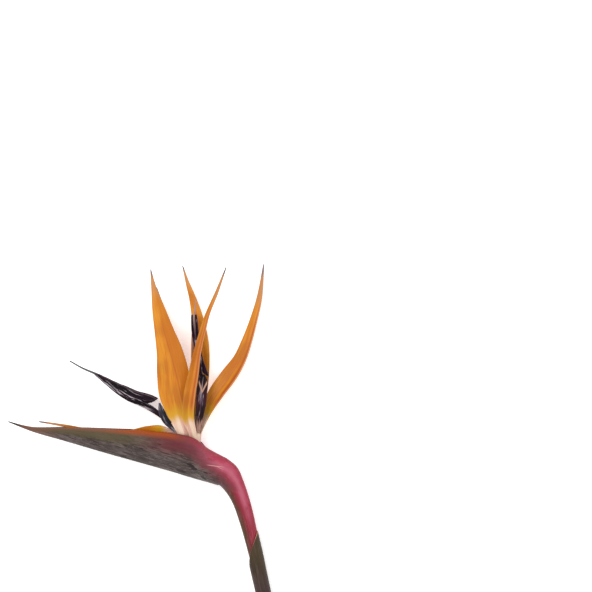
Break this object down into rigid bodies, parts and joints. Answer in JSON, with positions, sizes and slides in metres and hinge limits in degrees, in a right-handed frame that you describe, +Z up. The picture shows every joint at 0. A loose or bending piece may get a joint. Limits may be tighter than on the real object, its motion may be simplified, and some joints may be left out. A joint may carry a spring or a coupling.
{
  "type": "bird of paradise flower",
  "caption": "Cut bird of paradise flower head lying on its side, with orange sepals, violet arrow petals, a purple-green spathe and a bent crimson neck.",
  "frame": {"origin": "middle of the flat spot under the spathe, on the surface that the flower lies on", "axes": "+Z up from the surface, -X along the spathe to its tip, +Y towards the florets; the cut stem runs towards -Y"},
  "size_m": [0.2162, 0.3369, 0.0253],
  "materials": {
    "stem_skin": "satin",
    "sheath_skin": "matte",
    "spathe_skin": "matte",
    "pale_flesh": "satin",
    "sepal_orange": "satin",
    "petal_violet": "satin",
    "petal_blue_grey": "satin",
    "style_dark": "satin",
    "stamen_cream": "matte"
  },
  "bodies": {
    "root": {"stem": "stem_skin", "sheath": "sheath_skin", "spathe": "spathe_skin", "floret_base_first": "pale_flesh", "floret_base_second": "pale_flesh", "sepal_left": "sepal_orange", "sepal_rear": "sepal_orange", "sepal_slit": "sepal_orange", "sepal_back": "sepal_orange", "sepal_front": "sepal_orange", "sepal_right": "sepal_orange", "arrow_first": "petal_violet", "arrow_second": "petal_violet", "hood_first": "petal_blue_grey", "hood_second": "petal_blue_grey", "style_first": "style_dark", "style_second": "style_dark", "stamens_first": "stamen_cream", "stamens_second": "stamen_cream"}
  },
  "joints": []
}
